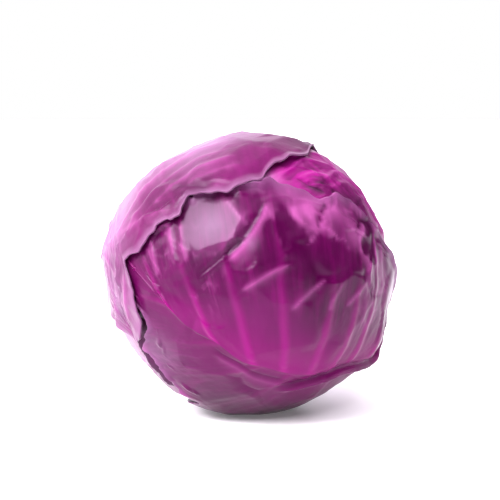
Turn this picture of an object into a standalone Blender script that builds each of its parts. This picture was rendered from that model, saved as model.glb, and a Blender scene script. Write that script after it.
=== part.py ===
"""A head of red cabbage lying on its side, in metres, +Z up.

The head is a ball of tightly packed inner leaves with four large wrapper leaves laid over it, all
of them growing from the cut stem. Every surface is a height above the middle of the ball, so a
place on the head is given as a direction: azimuth in degrees from the front (-Y) towards the
right (+X), and elevation in degrees above the horizon. The origin is the middle of the small flat
spot that the head rests on.
"""

import math

import bmesh
import bpy
import numpy as np
from mathutils import Quaternion, Vector
from mathutils.bvhtree import BVHTree

# The ball of inner leaves
CENTRE = Vector((0.0, 0.0, 0.0706))  # its middle stands this high above the table
WAIST = 0.0674  # radius across the growing axis
CROWN_RISE = 0.0030  # how much longer the radius is at the crown
FOOT_RISE = 0.0026  # and at the stem
# Places where the ball isn't round: azimuth, elevation, reach in degrees and height
UNEVENNESS = [
    (-90, -20, 24, -0.0036),
    (-90, -30, 9, 0.0026),
    (-90, -66, 8, -0.0012),
    (-90, 10, 14, 0.0022),
    (-90, 66, 12, -0.0016),
    (90, -57, 11, -0.0068),
    (90, -72, 9, 0.0064),
    (90, 58, 22, 0.0012),
    (88, 19, 9, -0.0034),
    (90, -18, 9, -0.0064),
    (-14, 22, 17, -0.0008),
    (30, 14, 20, -0.0006),
]
REST_CLEARANCE = 0.0042  # room under the ball for the leaves that it lies on
REST_HEIGHTS = {"front_leaf": 0.0, "back_leaf": 0.0020}  # of each leaf's outside, where it is flat
MERIDIANS = 36
PARALLELS = 22
LAPS = 3  # inner leaf margins that show as steps
LAP_STEP = 0.0009
LAP_TWIST = 0.9  # radians that a margin winds from stem to crown
INNER_RIB = 0.0007

# The cut stem, whose axis is the growing axis
STEM_AZIMUTH, STEM_ELEVATION = 110, -30
STEM_RADIUS = 0.0146
STEM_SEAT = 0.0620  # where the stem begins, from the middle of the ball
STEM_END = 0.0765  # the cut face
STEM_SIDES = 36
STEM_SCARS = 5  # ridges left by leaves that were broken off

# Leaves
GAP = 0.0005  # between a leaf and what it lies on
BLADE = 0.0011  # thickness of a blade
MARGIN = 0.0008  # thickness at its edge
MIDRIB = 0.0042  # height of the midrib at the foot, above the blade
MIDRIB_TIP = 0.0005
RIB = 0.0013  # height of a side rib where it leaves the midrib
FOOT_DISTANCE = math.radians(12.6)  # the leaves start this far round from the stem's axis
FOOT_SPREAD = math.radians(64)  # half of how far a leaf foot clasps the stem
FOOT_BLEND = 0.075  # share of the midrib over which the foot's clasp opens into the blade
RINGS = (0.0, 0.05, 0.12, 0.23, 0.37, 0.53, 0.70, 0.86, 1.0)  # shares of a rib's length
RIB_WIDTH = 0.024  # half a rib's width, as a share of the midrib
CELL = math.radians(4.2)  # how far round each point looks for what lies below
OUTSIDE = 0.12  # a distance from the middle that is outside the head

# Each leaf: the widest space between rows of its net, as a share of the midrib, the midrib's points
# (azimuth, elevation), then for each side its rows from foot to tip: where the row leaves the
# midrib (share of its length), where it ends on the leaf's edge, and 1 where it carries a rib.
# A lift raises the leaf's edge near a place, and a bulge all of the leaf near it: azimuth,
# elevation, reach in degrees and height.
LEAVES = {
    "back_leaf": {
        "step": 0.050,
        "midrib": [(124, -37), (150, -47), (-170, -45), (-132, -34), (-106, -23), (-82, -14)],
        "sides": [
            [
                (0.06, 142, -20, 1),
                (0.17, 168, -2, 1),
                (0.29, -168, 16, 1),
                (0.42, -142, 26, 1),
                (0.56, -112, 28, 1),
                (0.70, -84, 20, 1),
                (0.84, -64, 8, 1),
                (0.96, -48, -4, 1),
            ],
            [
                (0.06, 110, -56, 1),
                (0.17, 90, -74, 1),
                (0.29, 20, -82, 1),
                (0.42, -18, -66, 1),
                (0.56, -36, -46, 1),
                (0.70, -40, -30, 1),
                (0.84, -40, -17, 1),
                (0.96, -48, -4, 1),
            ],
        ],
        "lifts": [],
        "bulges": [(-62, -34, 12, 0.0008)],
    },
    "crown_leaf": {
        "step": 0.044,
        "midrib": [(118, -19), (106, -2), (91, 16), (80, 32), (73, 46), (52, 57), (18, 61), (-12, 55)],
        "sides": [
            [
                (0.07, 98, -12, 1),
                (0.18, 84, -2, 1),
                (0.29, 72, 10, 1),
                (0.40, 58, 20, 1),
                (0.51, 42, 29, 1),
                (0.63, 24, 35, 1),
                (0.76, 6, 37, 1),
                (0.89, -10, 41, 1),
                (1.00, -30, 48, 1),
            ],
            [
                (0.07, 134, -14, 1),
                (0.18, 138, 4, 1),
                (0.29, 140, 20, 1),
                (0.40, 141, 36, 1),
                (0.51, 142, 50, 1),
                (0.63, 136, 64, 1),
                (0.76, 70, 78, 1),
                (0.89, -22, 67, 1),
                (1.00, -30, 48, 1),
            ],
        ],
        "lifts": [],
        "bulges": [(46, 45, 9, 0.0009), (24, 46, 7, 0.0007)],
    },
    "front_leaf": {
        "step": 0.036,
        "midrib": [
            (98, -33),
            (84, -32),
            (71, -32),
            (52, -36),
            (36, -37),
            (19, -36),
            (7, -32),
            (-4, -28),
            (-14, -20),
            (-23, -15),
            (-31, -8),
            (-40, 0),
            (-48, 5),
            (-56, 10),
        ],
        "sides": [
            [
                (0.05, 97, -19, 1),
                (0.11, 88, -6, 0),
                (0.16, 80, 6, 1),
                (0.20, 71, 15, 0),
                (0.24, 64, 22, 1),
                (0.28, 61, 27, 0),
                (0.31, 55, 31, 1),
                (0.34, 46, 36, 0),
                (0.37, 37, 36, 1),
                (0.41, 22, 41, 0),
                (0.45, 8, 44, 1),
                (0.54, -18, 43, 1),
                (0.66, -38, 33, 1),
                (0.80, -56, 22, 1),
                (0.96, -64, 14, 1),
            ],
            [
                (0.06, 126, -51, 1),
                (0.12, 140, -56, 1),
                (0.20, 170, -61, 1),
                (0.28, -136, -64, 1),
                (0.36, -66, -62, 1),
                (0.42, -40, -58, 1),
                (0.47, -48, -47, 0),
                (0.52, -50, -36, 1),
                (0.57, -52, -30, 0),
                (0.61, -55, -25, 0),
                (0.65, -48, -20, 1),
                (0.70, -44, -15, 0),
                (0.75, -46, -9, 0),
                (0.82, -58, -1, 1),
                (0.96, -64, 14, 1),
            ],
        ],
        "lifts": [(-46, -16, 8, 0.0018), (-52, -34, 9, 0.0008), (84, 0, 12, 0.0022)],
        "bulges": [(79, -27, 13, 0.0058), (84, -40, 7, 0.0016), (-20, -46, 16, 0.0006)],
    },
    "top_leaf": {
        "step": 0.036,
        "midrib": [
            (128, -20),
            (136, 8),
            (148, 36),
            (172, 60),
            (-134, 66),
            (-102, 50),
            (-86, 28),
            (-74, 8),
            (-63, -9),
        ],
        "sides": [
            [
                (0.07, 116, -8, 1),
                (0.16, 118, 14, 1),
                (0.24, 122, 36, 1),
                (0.31, 122, 56, 1),
                (0.36, 86, 64, 0),
                (0.40, 46, 58, 1),
                (0.43, 29, 57, 0),
                (0.46, 14, 52, 0),
                (0.49, 6, 44, 1),
                (0.52, -5, 41, 0),
                (0.55, -14, 38, 0),
                (0.58, -24, 37, 1),
                (0.61, -30, 34, 0),
                (0.64, -31, 28, 1),
                (0.67, -36, 26, 0),
                (0.71, -41, 21, 1),
                (0.75, -47, 14, 0),
                (0.79, -54, 9, 1),
                (0.84, -50, 3, 0),
                (0.89, -48, -4, 1),
                (0.94, -50, -13, 0),
                (1.00, -52, -22, 1),
            ],
            [
                (0.07, 142, -33, 1),
                (0.18, 166, -28, 1),
                (0.30, -172, -20, 1),
                (0.43, -154, -10, 1),
                (0.55, -136, -4, 1),
                (0.66, -120, -6, 1),
                (0.76, -105, -9, 1),
                (0.85, -88, -13, 1),
                (0.93, -70, -17, 0),
                (1.00, -52, -22, 1),
            ],
        ],
        "lifts": [
            (-20, 37, 8, 0.0016),
            (-38, 24, 9, 0.0010),
            (30, 57, 12, 0.0010),
            (101, 62, 9, 0.0007),
            (-54, -20, 9, 0.0014),
        ],
        "bulges": [],
    },
}


def direction(azimuth, elevation):
    """The unit vector of a place on the head."""
    a, e = math.radians(azimuth), math.radians(elevation)
    return Vector((math.cos(e) * math.sin(a), -math.cos(e) * math.cos(a), math.sin(e)))


STEM_AXIS = direction(STEM_AZIMUTH, STEM_ELEVATION)


def hermite(knots, places, at):
    """The smooth curve through places, each reached at its own knot, read at one value."""
    at = min(max(at, knots[0]), knots[-1])
    i = min(max(int(np.searchsorted(knots, at, side="right")) - 1, 0), len(knots) - 2)

    def slope(k):
        low, high = max(k - 1, 0), min(k + 1, len(knots) - 1)
        return (places[high] - places[low]) / (knots[high] - knots[low])

    span = knots[i + 1] - knots[i]
    t = (at - knots[i]) / span
    point = (
        places[i] * (2 * t**3 - 3 * t**2 + 1)
        + slope(i) * (span * (t**3 - 2 * t**2 + t))
        + places[i + 1] * (3 * t**2 - 2 * t**3)
        + slope(i + 1) * (span * (t**3 - t**2))
    )
    return point.normalized()


def arc_knots(places):
    """Knots that share a curve out by the angle between its points."""
    knots = [0.0]
    for a, b in zip(places, places[1:]):
        knots.append(knots[-1] + a.angle(b))
    return [k / knots[-1] for k in knots]


def slerp(a, b, share):
    """The direction a share of the way from a to b, round the ball."""
    angle = a.angle(b)
    return (a * math.sin((1 - share) * angle) + b * math.sin(share * angle)) / math.sin(angle)


def smooth(share):
    share = min(max(share, 0.0), 1.0)
    return share * share * (3 - 2 * share)


class LeafPlan:
    """Where a leaf lies on the head: rows run from the midrib out to the edge, on both sides."""

    def __init__(self, plan):
        self.midrib = [direction(*p) for p in plan["midrib"]]
        self.midrib_knots = arc_knots(self.midrib)
        self.sides = plan["sides"]
        self.lifts = plan["lifts"]
        self.bulges = plan["bulges"]
        shares = sorted({0.0} | {row[0] for side in self.sides for row in side})
        self.rows = [0.0]
        for share in shares[1:]:
            start = self.rows[-1]
            steps = math.ceil((share - start) / plan["step"] - 1e-6)
            self.rows += [start + (share - start) * (k + 1) / steps for k in range(steps)]
        foot = self.midrib[0] - STEM_AXIS * self.midrib[0].dot(STEM_AXIS)
        self.foot_heading = foot.normalized()

    def edge(self, side, share):
        """Where the row that leaves the midrib at share ends."""
        rows = self.sides[side]
        return hermite([r[0] for r in rows], [direction(*r[1:3]) for r in rows], share)

    def place(self, side, share, ring):
        """The direction of one crossing of the leaf's net."""
        start = hermite(self.midrib_knots, self.midrib, share)
        on_row = slerp(start, self.edge(side, share), ring)
        turn = (1, -1)[side] * self.turn_to(0) * ring * FOOT_SPREAD
        heading = Quaternion(STEM_AXIS, turn) @ self.foot_heading
        clasp = STEM_AXIS * math.cos(FOOT_DISTANCE) + heading * math.sin(FOOT_DISTANCE)
        return clasp.lerp(on_row, smooth(share / FOOT_BLEND)).normalized()

    def turn_to(self, side):
        """1 if that side lies anticlockwise of the midrib about the stem's axis, else -1."""
        first = direction(*self.sides[side][0][1:3])
        return math.copysign(1, STEM_AXIS.dot(self.foot_heading.cross(first)))

    def rib_share(self, side, share):
        """1 on a rib, falling to 0 halfway to the next row that has none."""
        nearest = min(abs(share - r[0]) for r in self.sides[side] if r[3])
        return max(0.0, 1 - nearest / RIB_WIDTH)

    def relief(self, side, share, ring):
        """How far the ribs stand out of the blade."""
        crest = MIDRIB_TIP + (MIDRIB - MIDRIB_TIP) * (1 - share) ** 2.2
        midrib = crest * smooth(1 - ring / RINGS[2])
        rib = RIB * self.rib_share(side, share) * (1 - 0.8 * ring) * smooth(ring / RINGS[1])
        return max(midrib, rib)

    def lift(self, place, ring):
        """How far the leaf stands off what it lies on."""
        edge = sum(swell(place, *spot) for spot in self.lifts) * smooth((ring - 0.6) / 0.4)
        return edge + sum(swell(place, *spot) for spot in self.bulges)


def swell(place, azimuth, elevation, reach, height):
    """The height of a rounded spot at one place, which falls to half its height at its reach."""
    away = math.degrees(place.angle(direction(azimuth, elevation)))
    return height * 0.5 ** ((away / reach) ** 2)


def head_radius(place):
    """Radius of the ball of inner leaves in one direction."""
    along = -place.dot(STEM_AXIS)
    rise = CROWN_RISE if along > 0 else FOOT_RISE
    radius = WAIST + rise * along * along + sum(swell(place, *spot) for spot in UNEVENNESS)
    if place.z < 0:
        radius = min(radius, (CENTRE.z - REST_CLEARANCE) / -place.z)
    if along < -0.5:
        radius = min(radius, STEM_SEAT / -along)
    return radius


def new_object(name, bm, colour, roughness):
    """A node from a finished mesh, with its own material."""
    bmesh.ops.recalc_face_normals(bm, faces=bm.faces)
    mesh = bpy.data.meshes.new(name)
    bm.to_mesh(mesh)
    bm.free()
    mesh.shade_smooth()
    obj = bpy.data.objects.new(name, mesh)
    bpy.context.scene.collection.objects.link(obj)
    material = bpy.data.materials.new(name)
    material.use_nodes = True
    shader = material.node_tree.nodes["Principled BSDF"]
    shader.inputs["Base Color"].default_value = (*colour, 1.0)
    shader.inputs["Roughness"].default_value = roughness
    mesh.materials.append(material)
    return obj


def surface_of(obj):
    """A node's triangles, to find the height of the surface, and points all over them."""
    points = [v.co.copy() for v in obj.data.vertices]
    polygons = [tuple(p.vertices) for p in obj.data.polygons]
    tree = BVHTree.FromPolygons(points, polygons)
    middles = [(points[a] + points[b]) / 2 for a, b in obj.data.edge_keys]
    return tree, points + middles


def inner_head():
    """The ball of packed inner leaves, with their lapped margins and ribs raised on it."""
    bm = bmesh.new()
    across = STEM_AXIS.orthogonal().normalized()
    rings = []
    for i in range(1, PARALLELS):
        polar = math.pi * i / PARALLELS
        ring = []
        for j in range(MERIDIANS):
            turn = 2 * math.pi * j / MERIDIANS
            side = Quaternion(STEM_AXIS, turn + LAP_TWIST * polar) @ across
            place = STEM_AXIS * math.cos(polar) + side * math.sin(polar)
            in_lap = j % (MERIDIANS // LAPS) / (MERIDIANS // LAPS)
            lap = LAP_STEP * (1 - in_lap) * math.sin(polar)
            rib = INNER_RIB * (j % 3 == 1) * math.sin(polar)
            radius = head_radius(place)
            flat = place.z < 0 and radius * -place.z > CENTRE.z - REST_CLEARANCE - 1e-6
            seat = place.dot(STEM_AXIS) > 0.9
            ring.append(bm.verts.new(CENTRE + place * (radius + (0 if flat or seat else lap + rib))))
        rings.append(ring)
    for a, b in zip(rings, rings[1:]):
        for j in range(MERIDIANS):
            k = (j + 1) % MERIDIANS
            bm.faces.new((a[j], a[k], b[k], b[j]))
    for end, ring in ((1, rings[0]), (-1, rings[-1])):
        pole = bm.verts.new(CENTRE + STEM_AXIS * end * head_radius(STEM_AXIS * end))
        for j in range(MERIDIANS):
            bm.faces.new((pole, ring[j], ring[(j + 1) % MERIDIANS]))
    bmesh.ops.triangulate(bm, faces=bm.faces)
    return new_object("inner_head", bm, (0.36, 0.03, 0.22), 0.35)


def lies_below(place, surfaces):
    """The greatest height, from the middle of the ball, of what lies under and just round a place."""
    side = place.orthogonal().normalized()
    rays = [place]
    for k in range(8):
        tilt = Quaternion(place, math.tau * k / 8) @ side
        rays.append((place + tilt * math.tan(CELL)).normalized())
        rays.append((place + tilt * math.tan(CELL / 2)).normalized())
    highest = 0.0
    for ray in rays:
        for surface in surfaces:
            hit = surface[0].ray_cast(CENTRE + ray * OUTSIDE, -ray, OUTSIDE / 2)[0]
            if hit:
                highest = max(highest, (hit - CENTRE).length)
    return highest


def leaf(name, surfaces, colour):
    """A wrapper leaf laid over the finished surfaces: a thin shell with its ribs on the outside."""
    plan = LeafPlan(LEAVES[name])
    rows = plan.rows
    last = len(rows) - 1
    bm = bmesh.new()
    net = {}
    for side in (0, 1):
        for i, share in enumerate(rows):
            for j, ring in enumerate(RINGS):
                if side and (j == 0 or i == last):
                    net[side, i, j] = net[0, i, j]
                    continue
                place = plan.place(side, share, ring)
                inner = lies_below(place, surfaces) + GAP + plan.lift(place, ring)
                thick = BLADE + (MARGIN - BLADE) * smooth((ring - 0.7) / 0.3)
                outer = inner + thick + plan.relief(side, share, ring)
                net[side, i, j] = [place, inner, outer]
    ease_steps(net, last)
    flatten_rest(net, REST_HEIGHTS.get(name, REST_CLEARANCE))
    keys = [key for key in net if not (key[0] and (key[1] == last or key[2] == 0))]
    number = {key: k for k, key in enumerate(keys)}
    triangles = []
    for side in (0, 1):
        for i in range(last):
            for j in range(len(RINGS) - 1):
                corners = [(side, i, j), (side, i + 1, j), (side, i + 1, j + 1), (side, i, j + 1)]
                a, b, c, d = (
                    number[(0 if ii == last or jj == 0 else s), ii, jj] for s, ii, jj in corners
                )
                alternate = (i + j) % 2 and i < last - 1
                parts = [(a, b, c), (a, c, d)] if alternate else [(a, b, d), (b, c, d)]
                triangles += [t if side else t[::-1] for t in parts]
    places = [net[key][0] for key in keys]
    inner = [net[key][1] for key in keys]
    outer = [net[key][2] for key in keys]
    clear_of(surfaces, places, triangles, inner, outer)
    for k, place in enumerate(places):
        if place.z < 0:
            outer[k] = min(outer[k], (CENTRE.z - REST_HEIGHTS.get(name, 0.0)) / -place.z)
    place_layer = bm.verts.layers.int.new("place")
    verts = []
    for k, place in enumerate(places):
        verts.append(bm.verts.new(CENTRE + place * inner[k]))
        verts[k][place_layer] = k
    for triangle in triangles:
        bm.faces.new([verts[k] for k in triangle])
    grown = bmesh.ops.extrude_face_region(bm, geom=bm.faces[:], use_keep_orig=True)
    for vert in (g for g in grown["geom"] if isinstance(g, bmesh.types.BMVert)):
        k = vert[place_layer]
        vert.co = CENTRE + places[k] * outer[k]
    return new_object(name, bm, colour, 0.3)


def flatten_rest(net, height):
    """Keeps a leaf above a level, so that the head has a flat spot to rest on."""
    for values in net.values():
        place = values[0]
        if place.z < 0:
            values[2] = min(values[2], (CENTRE.z - height) / -place.z)
            values[1] = min(values[1], (CENTRE.z - height - BLADE) / -place.z)


def clear_of(surfaces, places, triangles, inner, outer):
    """Raises the net wherever a corner of what lies below would come through a triangle of it."""
    for _ in range(4):
        net = BVHTree.FromPolygons([p * r for p, r in zip(places, inner)], triangles)
        rise = [0.0] * len(places)
        for points in surfaces:
            for point in points[1]:
                offset = point - CENTRE
                hit, _, index, distance = net.ray_cast(Vector(), offset.normalized())
                if hit is None:
                    continue
                short = offset.length + GAP - distance
                if short > 1e-6:
                    for k in triangles[index]:
                        rise[k] = max(rise[k], short)
        for k, height in enumerate(rise):
            inner[k] += height
            outer[k] += height


def ease_steps(net, last):
    """Lets the leaf span the hollows beside what it lies on, as a taut leaf does."""
    for _ in range(2):
        before = {key: values[1] for key, values in net.items()}
        for (side, i, j), values in net.items():
            if 0 < j < len(RINGS) - 1 and 0 < i < last:
                around = [before[side, i + a, j + b] for a, b in ((1, 0), (-1, 0), (0, 1), (0, -1))]
                rise = max(0.0, sum(around) / 4 - before[side, i, j])
                values[1] += rise
                values[2] += rise


def stem():
    """The cut stem: a short, slightly flared stub with the scars of broken leaves round it."""
    bm = bmesh.new()
    across = STEM_AXIS.orthogonal().normalized()
    profile = [(0.0, 0.86), (0.25, 0.93), (0.45, 0.97), (0.70, 0.98), (0.90, 1.0), (1.0, 0.96)]
    rings = []
    for along, width in profile:
        height = STEM_SEAT + 0.0003 + (STEM_END - STEM_SEAT) * along
        ring = []
        for j in range(STEM_SIDES):
            turn = math.tau * j / STEM_SIDES
            scar = 0.0007 * math.cos(STEM_SCARS * turn) * math.sin(math.pi * along)
            side = Quaternion(STEM_AXIS, turn) @ across
            ring.append(
                bm.verts.new(CENTRE + STEM_AXIS * height + side * (STEM_RADIUS * width - 0.0007 + scar))
            )
        rings.append(ring)
    for a, b in zip(rings, rings[1:]):
        for j in range(STEM_SIDES):
            k = (j + 1) % STEM_SIDES
            bm.faces.new((a[j], a[k], b[k], b[j]))
    bm.faces.new(rings[0])
    bm.faces.new(rings[-1])
    return new_object("stem_stump", bm, (0.62, 0.55, 0.42), 0.6)


def build():
    for obj in list(bpy.data.objects):
        bpy.data.objects.remove(obj)
    surfaces = [surface_of(inner_head())]
    stem()
    for name, colour in (
        ("back_leaf", (0.30, 0.03, 0.20)),
        ("crown_leaf", (0.33, 0.03, 0.21)),
        ("front_leaf", (0.38, 0.03, 0.24)),
        ("top_leaf", (0.42, 0.05, 0.28)),
    ):
        surfaces.append(surface_of(leaf(name, surfaces, colour)))


build()
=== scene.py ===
"""The looks of a head of red cabbage that lies on a white table, in metres, +Z up.

Every leaf starts as a flat grid that is laid on the head: along the grid runs the midrib, and
across it run the rows from the midrib out to the leaf's edge. A place on the head is a direction
from its middle: azimuth in degrees from the front (-Y) towards the right (+X), and elevation.
"""

import math

import bpy
import numpy as np
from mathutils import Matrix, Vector, noise
from mathutils.bvhtree import BVHTree


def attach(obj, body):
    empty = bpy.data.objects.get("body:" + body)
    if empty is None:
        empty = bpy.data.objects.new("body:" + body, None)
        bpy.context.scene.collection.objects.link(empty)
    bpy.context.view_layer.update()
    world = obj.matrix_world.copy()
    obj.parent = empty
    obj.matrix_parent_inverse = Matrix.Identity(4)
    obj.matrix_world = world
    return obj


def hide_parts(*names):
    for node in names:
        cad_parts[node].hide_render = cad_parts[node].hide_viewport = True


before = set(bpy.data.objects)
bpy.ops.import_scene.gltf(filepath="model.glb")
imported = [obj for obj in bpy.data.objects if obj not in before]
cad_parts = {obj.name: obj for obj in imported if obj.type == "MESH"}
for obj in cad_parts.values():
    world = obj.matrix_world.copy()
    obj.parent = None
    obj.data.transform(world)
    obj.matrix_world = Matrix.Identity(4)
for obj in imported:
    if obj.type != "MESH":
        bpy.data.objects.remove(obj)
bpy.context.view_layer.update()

MIDDLE = Vector((0.0, 0.0, 0.0706))  # of the head; every direction starts from it
CENTRE = np.array(MIDDLE)
HEAD_RADIUS = 0.07
FAR = 0.12  # clear of the head on every side
BLADE = 0.0009  # thickness of a leaf
CLEAR = 0.00025  # least room between a leaf and what it lies on
MERGE = 1e-5  # points closer than this become one

# The stem: its direction, its radius and how much of that is kept back for the scars, how far from
# the middle it starts and ends, the number and depth of its leaf scars, the bundles in its ring,
# its grid, and the share of that grid at which the cut face starts
STEM_AZIMUTH, STEM_ELEVATION = 110, -30
STEM_RADIUS, STEM_ROOM = 0.0146, 0.0009
STEM_SEAT = 0.0620
STEM_END = 0.0765
STEM_SCARS, SCAR_DEPTH = 5, 0.0007
STEM_BUNDLES = 26
STEM_GRID = (144, 60)
CUT_FACE = 0.55

# The foot of a leaf clasps the stem: how far from its axis, how far round it to each side, and the
# share of the midrib over which the clasp opens into the blade
FOOT_DISTANCE = math.radians(12.6)
FOOT_SPREAD = math.radians(64)
FOOT_BLEND = 0.075

# Relief that all the leaves share: low lumps and their size on the head, the fine streaks between
# the ribs with their number along and across, and the curl of the rim with its reach inwards
LUMPS, LUMP_SIZE = 0.00016, 0.22
STREAKS, STREAK_COUNTS = 0.00014, (52, 2.4)
CURL, CURL_REACH = 0.00035, 0.004
EDGE_REACH = 0.012  # this far in, a place no longer counts as near the edge
FULL_PAINTED_SHADING = 0.0010  # a fold this deep gets the most painted shade, and a crest this high the most painted highlight

# Flat facets between the ribs: how many are scattered over the head, their reach in degrees, the
# least room round a chosen one, the turn from each to the next, and how flat they are pressed,
# from 0 to 1
SCATTERED = 96
SCATTERED_REACH = 13.5
FACET_ROOM = 9
GOLDEN_ANGLE = 137.508
FLATNESS = 0.78

# The skins: colours of blade, ribs and dull rim in linear red, green and blue, how much wax lies all
# over, roughness, sheen, and how strong the fine pale streaks are
ROSE = (0.18, 0.0008, 0.104)
DULL = (0.12, 0.035, 0.10)
SKINS = {
    "inner_skin": ((0.07, 0.0006, 0.04), ROSE, DULL, 0.0, 0.4, 0.1, 0.14),
    "back_skin": ((0.09, 0.0006, 0.054), ROSE, DULL, 0.02, 0.34, 0.08, 0.14),
    "crown_skin": ((0.15, 0.0010, 0.090), (0.25, 0.016, 0.165), DULL, 0.02, 0.28, 0.03, 0.14),
    "front_skin": ((0.042, 0.0003, 0.026), ROSE, DULL, 0.01, 0.28, 0.05, 0.2),
    "top_skin": ((0.060, 0.0006, 0.036), (0.20, 0.010, 0.13), (0.15, 0.06, 0.13), 0.0, 0.31, 0.1, 0.14),
    "cut_stem": ((0.46, 0.40, 0.26), (0.62, 0.55, 0.38), (0.24, 0.13, 0.12), 0.0, 0.5, 0.0, 0.14),
}
DARK_PATCH, LIGHT_PATCH = 0.62, 1.45  # how much darker and lighter a blade is in patches
PATCH_SCALE, WAX_SCALE = 26, 60  # patches to the metre
# Painted shade in the valleys of folds and in gaps, and painted highlight on the crests of folds
PAINTED_SHADE_COLOUR = (0.032, 0.0002, 0.020, 1)
PAINTED_HIGHLIGHT_COLOUR = (0.34, 0.07, 0.25, 1)
PAINTED_HIGHLIGHT_STRENGTH = 0.65
WAX_AND_REFLECTION_COLOUR = (0.35, 0.22, 0.36, 1)
RIM_STRENGTH = 0.8
GRAIN_SCALE = 420
GRAIN_STRENGTH, GRAIN_HEIGHT = 0.15, 0.0005
GLOSS_LEVEL = 0.14
GLOSS_TINT = (0.96, 0.72, 1.0, 1)
SHEEN_TINT = (0.92, 0.78, 0.96, 1)
SHEEN_ROUGHNESS = 0.25

# The table: its size, colour and roughness, and the faint glow that keeps it white
TABLE_SIZE = 12
TABLE_COLOUR = (0.93, 0.92, 0.94, 1)
TABLE_ROUGHNESS = 0.45
TABLE_GLOW = (1.0, 0.96, 1.0, 1)
TABLE_GLOW_STRENGTH = 0.13

# The studio: the light of its white walls and of its dark side, which way the dark side lies, how
# far round it reaches and up to what height; then its soft boxes: azimuth, elevation, radius of the
# even middle and of the whole, and strength
ROOM = (1.66, 1.52, 1.72, 1)
DARK = (0.04, 0.035, 0.045, 1)
BACKDROP = (1, 1, 1, 1)
DARK_AZIMUTH = 60
DARK_HALF_WIDTHS = (112, 94)
DARK_TOPS = (0.78, 0.62)
SOFT_BOXES = [(-52, 50, 16, 23, 23.0), (-20, 37, 5, 13, 13.0), (-86, 28, 8, 18, 6.5)]

# The ceiling light: its azimuth and elevation, width in degrees, strength and colour
CEILING_PLACE = (12, 38)
CEILING_WIDTH = 14
CEILING_STRENGTH = 1.25
CEILING_COLOUR = (1.0, 0.95, 1.0)

# The camera: elevation in degrees, distance, sensor and lens in millimetres, and shift
CAMERA_ELEVATION = 7
CAMERA_DISTANCE = 0.8
CAMERA_SENSOR, CAMERA_LENS = 36, 112.9
CAMERA_SHIFT = (0.002, 0.048)

# How each leaf lies: its midrib, then for each side where each row leaves the midrib, where it
# ends on the leaf's edge, and 1 where it carries a rib
LEAVES = {
    "back_leaf": {
        "midrib": [(124, -37), (150, -47), (-170, -45), (-132, -34), (-106, -23), (-82, -14)],
        "sides": [
            [
                (0.06, 142, -20, 1), (0.17, 168, -2, 1), (0.29, -168, 16, 1), (0.42, -142, 26, 1),
                (0.56, -112, 28, 1), (0.70, -84, 20, 1), (0.84, -64, 8, 1), (0.96, -48, -4, 1),
            ],
            [
                (0.06, 110, -56, 1), (0.17, 90, -74, 1), (0.29, 20, -82, 1), (0.42, -18, -66, 1),
                (0.56, -36, -46, 1), (0.70, -40, -30, 1), (0.84, -40, -17, 1), (0.96, -48, -4, 1),
            ],
        ],
    },
    "crown_leaf": {
        "midrib": [(118, -19), (106, -2), (91, 16), (80, 32), (73, 46), (52, 57), (18, 61), (-12, 55)],
        "sides": [
            [
                (0.07, 98, -12, 1), (0.18, 84, -2, 1), (0.29, 72, 10, 1), (0.40, 58, 20, 1),
                (0.51, 42, 29, 1), (0.63, 24, 35, 1), (0.76, 6, 37, 1), (0.89, -10, 41, 1),
                (1.00, -30, 48, 1),
            ],
            [
                (0.07, 134, -14, 1), (0.18, 138, 4, 1), (0.29, 140, 20, 1), (0.40, 141, 36, 1),
                (0.51, 142, 50, 1), (0.63, 136, 64, 1), (0.76, 70, 78, 1), (0.89, -22, 67, 1),
                (1.00, -30, 48, 1),
            ],
        ],
    },
    "front_leaf": {
        "midrib": [
            (98, -33), (84, -32), (71, -32), (52, -36), (36, -37), (19, -36), (7, -32), (-4, -28),
            (-14, -20), (-23, -15), (-31, -8), (-40, 0), (-48, 5), (-56, 10),
        ],
        "sides": [
            [
                (0.05, 97, -19, 1), (0.11, 88, -6, 0), (0.16, 80, 6, 1), (0.20, 71, 15, 0),
                (0.24, 64, 22, 1), (0.28, 61, 27, 0), (0.31, 55, 31, 1), (0.34, 46, 36, 0),
                (0.37, 37, 36, 1), (0.41, 22, 41, 0), (0.45, 8, 44, 1), (0.54, -18, 43, 1),
                (0.66, -38, 33, 1), (0.80, -56, 22, 1), (0.96, -64, 14, 1),
            ],
            [
                (0.06, 126, -51, 1), (0.12, 140, -56, 1), (0.20, 170, -61, 1), (0.28, -136, -64, 1),
                (0.36, -66, -62, 1), (0.42, -40, -58, 1), (0.47, -48, -47, 0), (0.52, -50, -36, 1),
                (0.57, -52, -30, 0), (0.61, -55, -25, 0), (0.65, -48, -20, 1), (0.70, -44, -15, 0),
                (0.75, -46, -9, 0), (0.82, -58, -1, 1), (0.96, -64, 14, 1),
            ],
        ],
    },
    "top_leaf": {
        "midrib": [
            (128, -20), (136, 8), (148, 36), (172, 60), (-134, 66), (-102, 50), (-86, 28), (-74, 8),
            (-63, -9),
        ],
        "sides": [
            [
                (0.07, 116, -8, 1), (0.16, 118, 14, 1), (0.24, 122, 36, 1), (0.31, 122, 56, 1),
                (0.36, 86, 64, 0), (0.40, 46, 58, 1), (0.43, 29, 57, 0), (0.46, 14, 52, 0),
                (0.49, 6, 44, 1), (0.52, -5, 41, 0), (0.55, -14, 38, 0), (0.58, -24, 37, 1),
                (0.61, -30, 34, 0), (0.64, -31, 28, 1), (0.67, -36, 26, 0), (0.71, -41, 21, 1),
                (0.75, -47, 14, 0), (0.79, -54, 9, 1), (0.84, -50, 3, 0), (0.89, -48, -4, 1),
                (0.94, -50, -13, 0), (1.00, -52, -22, 1),
            ],
            [
                (0.07, 142, -33, 1), (0.18, 166, -28, 1), (0.30, -172, -20, 1),
                (0.43, -154, -10, 1), (0.55, -136, -4, 1), (0.66, -120, -6, 1), (0.76, -105, -9, 1),
                (0.85, -88, -13, 1), (0.93, -70, -17, 0), (1.00, -52, -22, 1),
            ],
        ],
    },
}

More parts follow.
